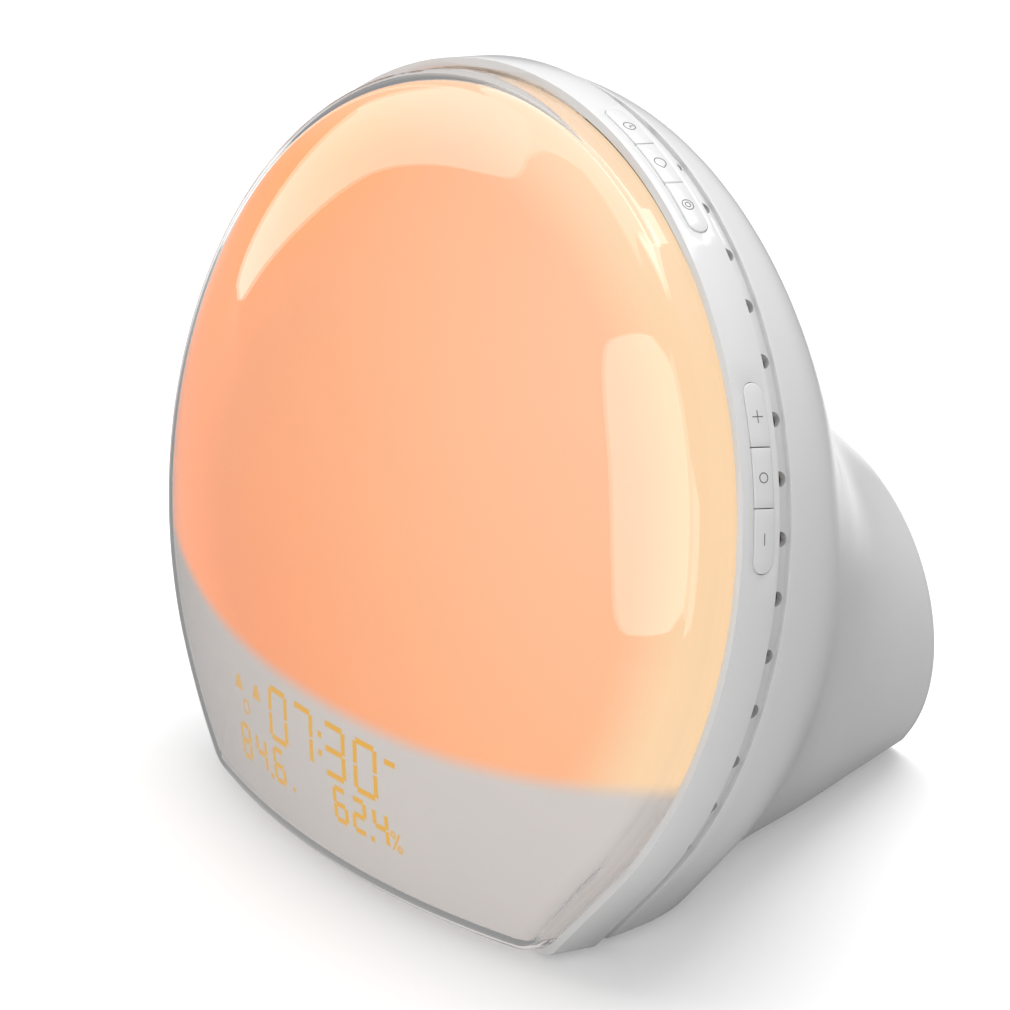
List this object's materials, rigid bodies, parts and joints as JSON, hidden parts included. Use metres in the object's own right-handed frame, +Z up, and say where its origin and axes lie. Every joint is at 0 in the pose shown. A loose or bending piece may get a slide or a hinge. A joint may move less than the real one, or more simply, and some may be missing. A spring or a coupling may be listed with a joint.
{
  "type": "sunrise alarm clock",
  "caption": "Sunrise alarm clock: a leaning round lamp face with a display along its lower edge, on a white housing that narrows to a speaker stub, with keys in its side.",
  "frame": {"origin": "on the surface that the clock stands on, under the middle of its box", "axes": "+Z up; the lamp face looks towards -Y and leans back by 14.2 degrees; +X is to the right for someone facing the lamp, and both rows of keys are on that side"},
  "size_m": [0.1912, 0.1367, 0.1699],
  "materials": {
    "clear_cover": "clear polycarbonate, polished",
    "diffuser": "translucent milky plastic, lit warm from behind",
    "shell": "glossy white moulded ABS",
    "keys": "glossy white moulded ABS",
    "grille": "moulded ABS, fine satin",
    "reflector": "white moulded ABS, unpainted",
    "board": "circuit board with green solder mask",
    "chips": "black moulded housings",
    "leds": "lamp packages with yellow phosphor",
    "plungers": "moulded nylon",
    "steel": "plated steel",
    "magnet": "ferrite",
    "paper": "pressed paper cone",
    "rubber": "soft rubber"
  },
  "bodies": {
    "housing": {"battery_door": "shell", "board_parts": "chips", "board_screws": "steel", "cell_contacts": "steel", "cell_tray": "reflector", "coin_cell": "steel", "diffuser": "diffuser", "display_board": "board", "display_chips": "chips", "display_guide": "reflector", "front_ring": "shell", "jack_board": "board", "lamp_board": "board", "lamp_leds": "leds", "lens_cover": "clear_cover", "light_baffle": "reflector", "lower_key_board": "board", "lower_key_carrier": "reflector", "lower_switches": "chips", "main_board": "board", "power_jack": "chips", "rear_cover": "shell", "reflector": "reflector", "rubber_feet": "rubber", "speaker_cone": "paper", "speaker_frame": "steel", "speaker_grille": "grille", "speaker_magnet": "magnet", "upper_key_board": "board", "upper_key_carrier": "reflector", "upper_switches": "chips"},
    "alarm_button": {"key_alarm": "keys", "plunger_alarm": "plungers"},
    "sound_button": {"key_sound": "keys", "plunger_sound": "plungers"},
    "light_button": {"key_light": "keys", "plunger_light": "plungers"},
    "minus_button": {"key_minus": "keys", "plunger_minus": "plungers"},
    "set_button": {"key_set": "keys", "plunger_set": "plungers"},
    "plus_button": {"key_plus": "keys", "plunger_plus": "plungers"}
  },
  "joints": [
    {"name": "alarm_press", "type": "slide", "parent": "housing", "child": "alarm_button", "axis": [-0.4019, -0.2246, -0.8877], "range_m": [0, 0.0006], "stiffness_N_per_m": 2500, "springref_m": -0.0001},
    {"name": "sound_press", "type": "slide", "parent": "housing", "child": "sound_button", "axis": [-0.4019, -0.2246, -0.8877], "range_m": [0, 0.0006], "stiffness_N_per_m": 2500, "springref_m": -0.0001},
    {"name": "light_press", "type": "slide", "parent": "housing", "child": "light_button", "axis": [-0.4019, -0.2246, -0.8877], "range_m": [0, 0.0006], "stiffness_N_per_m": 2500, "springref_m": -0.0001},
    {"name": "minus_press", "type": "slide", "parent": "housing", "child": "minus_button", "axis": [-0.9252, -0.0931, -0.3679], "range_m": [0, 0.0006], "stiffness_N_per_m": 2500, "springref_m": -0.0001},
    {"name": "set_press", "type": "slide", "parent": "housing", "child": "set_button", "axis": [-0.9252, -0.0931, -0.3679], "range_m": [0, 0.0006], "stiffness_N_per_m": 2500, "springref_m": -0.0001},
    {"name": "plus_press", "type": "slide", "parent": "housing", "child": "plus_button", "axis": [-0.9252, -0.0931, -0.3679], "range_m": [0, 0.0006], "stiffness_N_per_m": 2500, "springref_m": -0.0001}
  ]
}
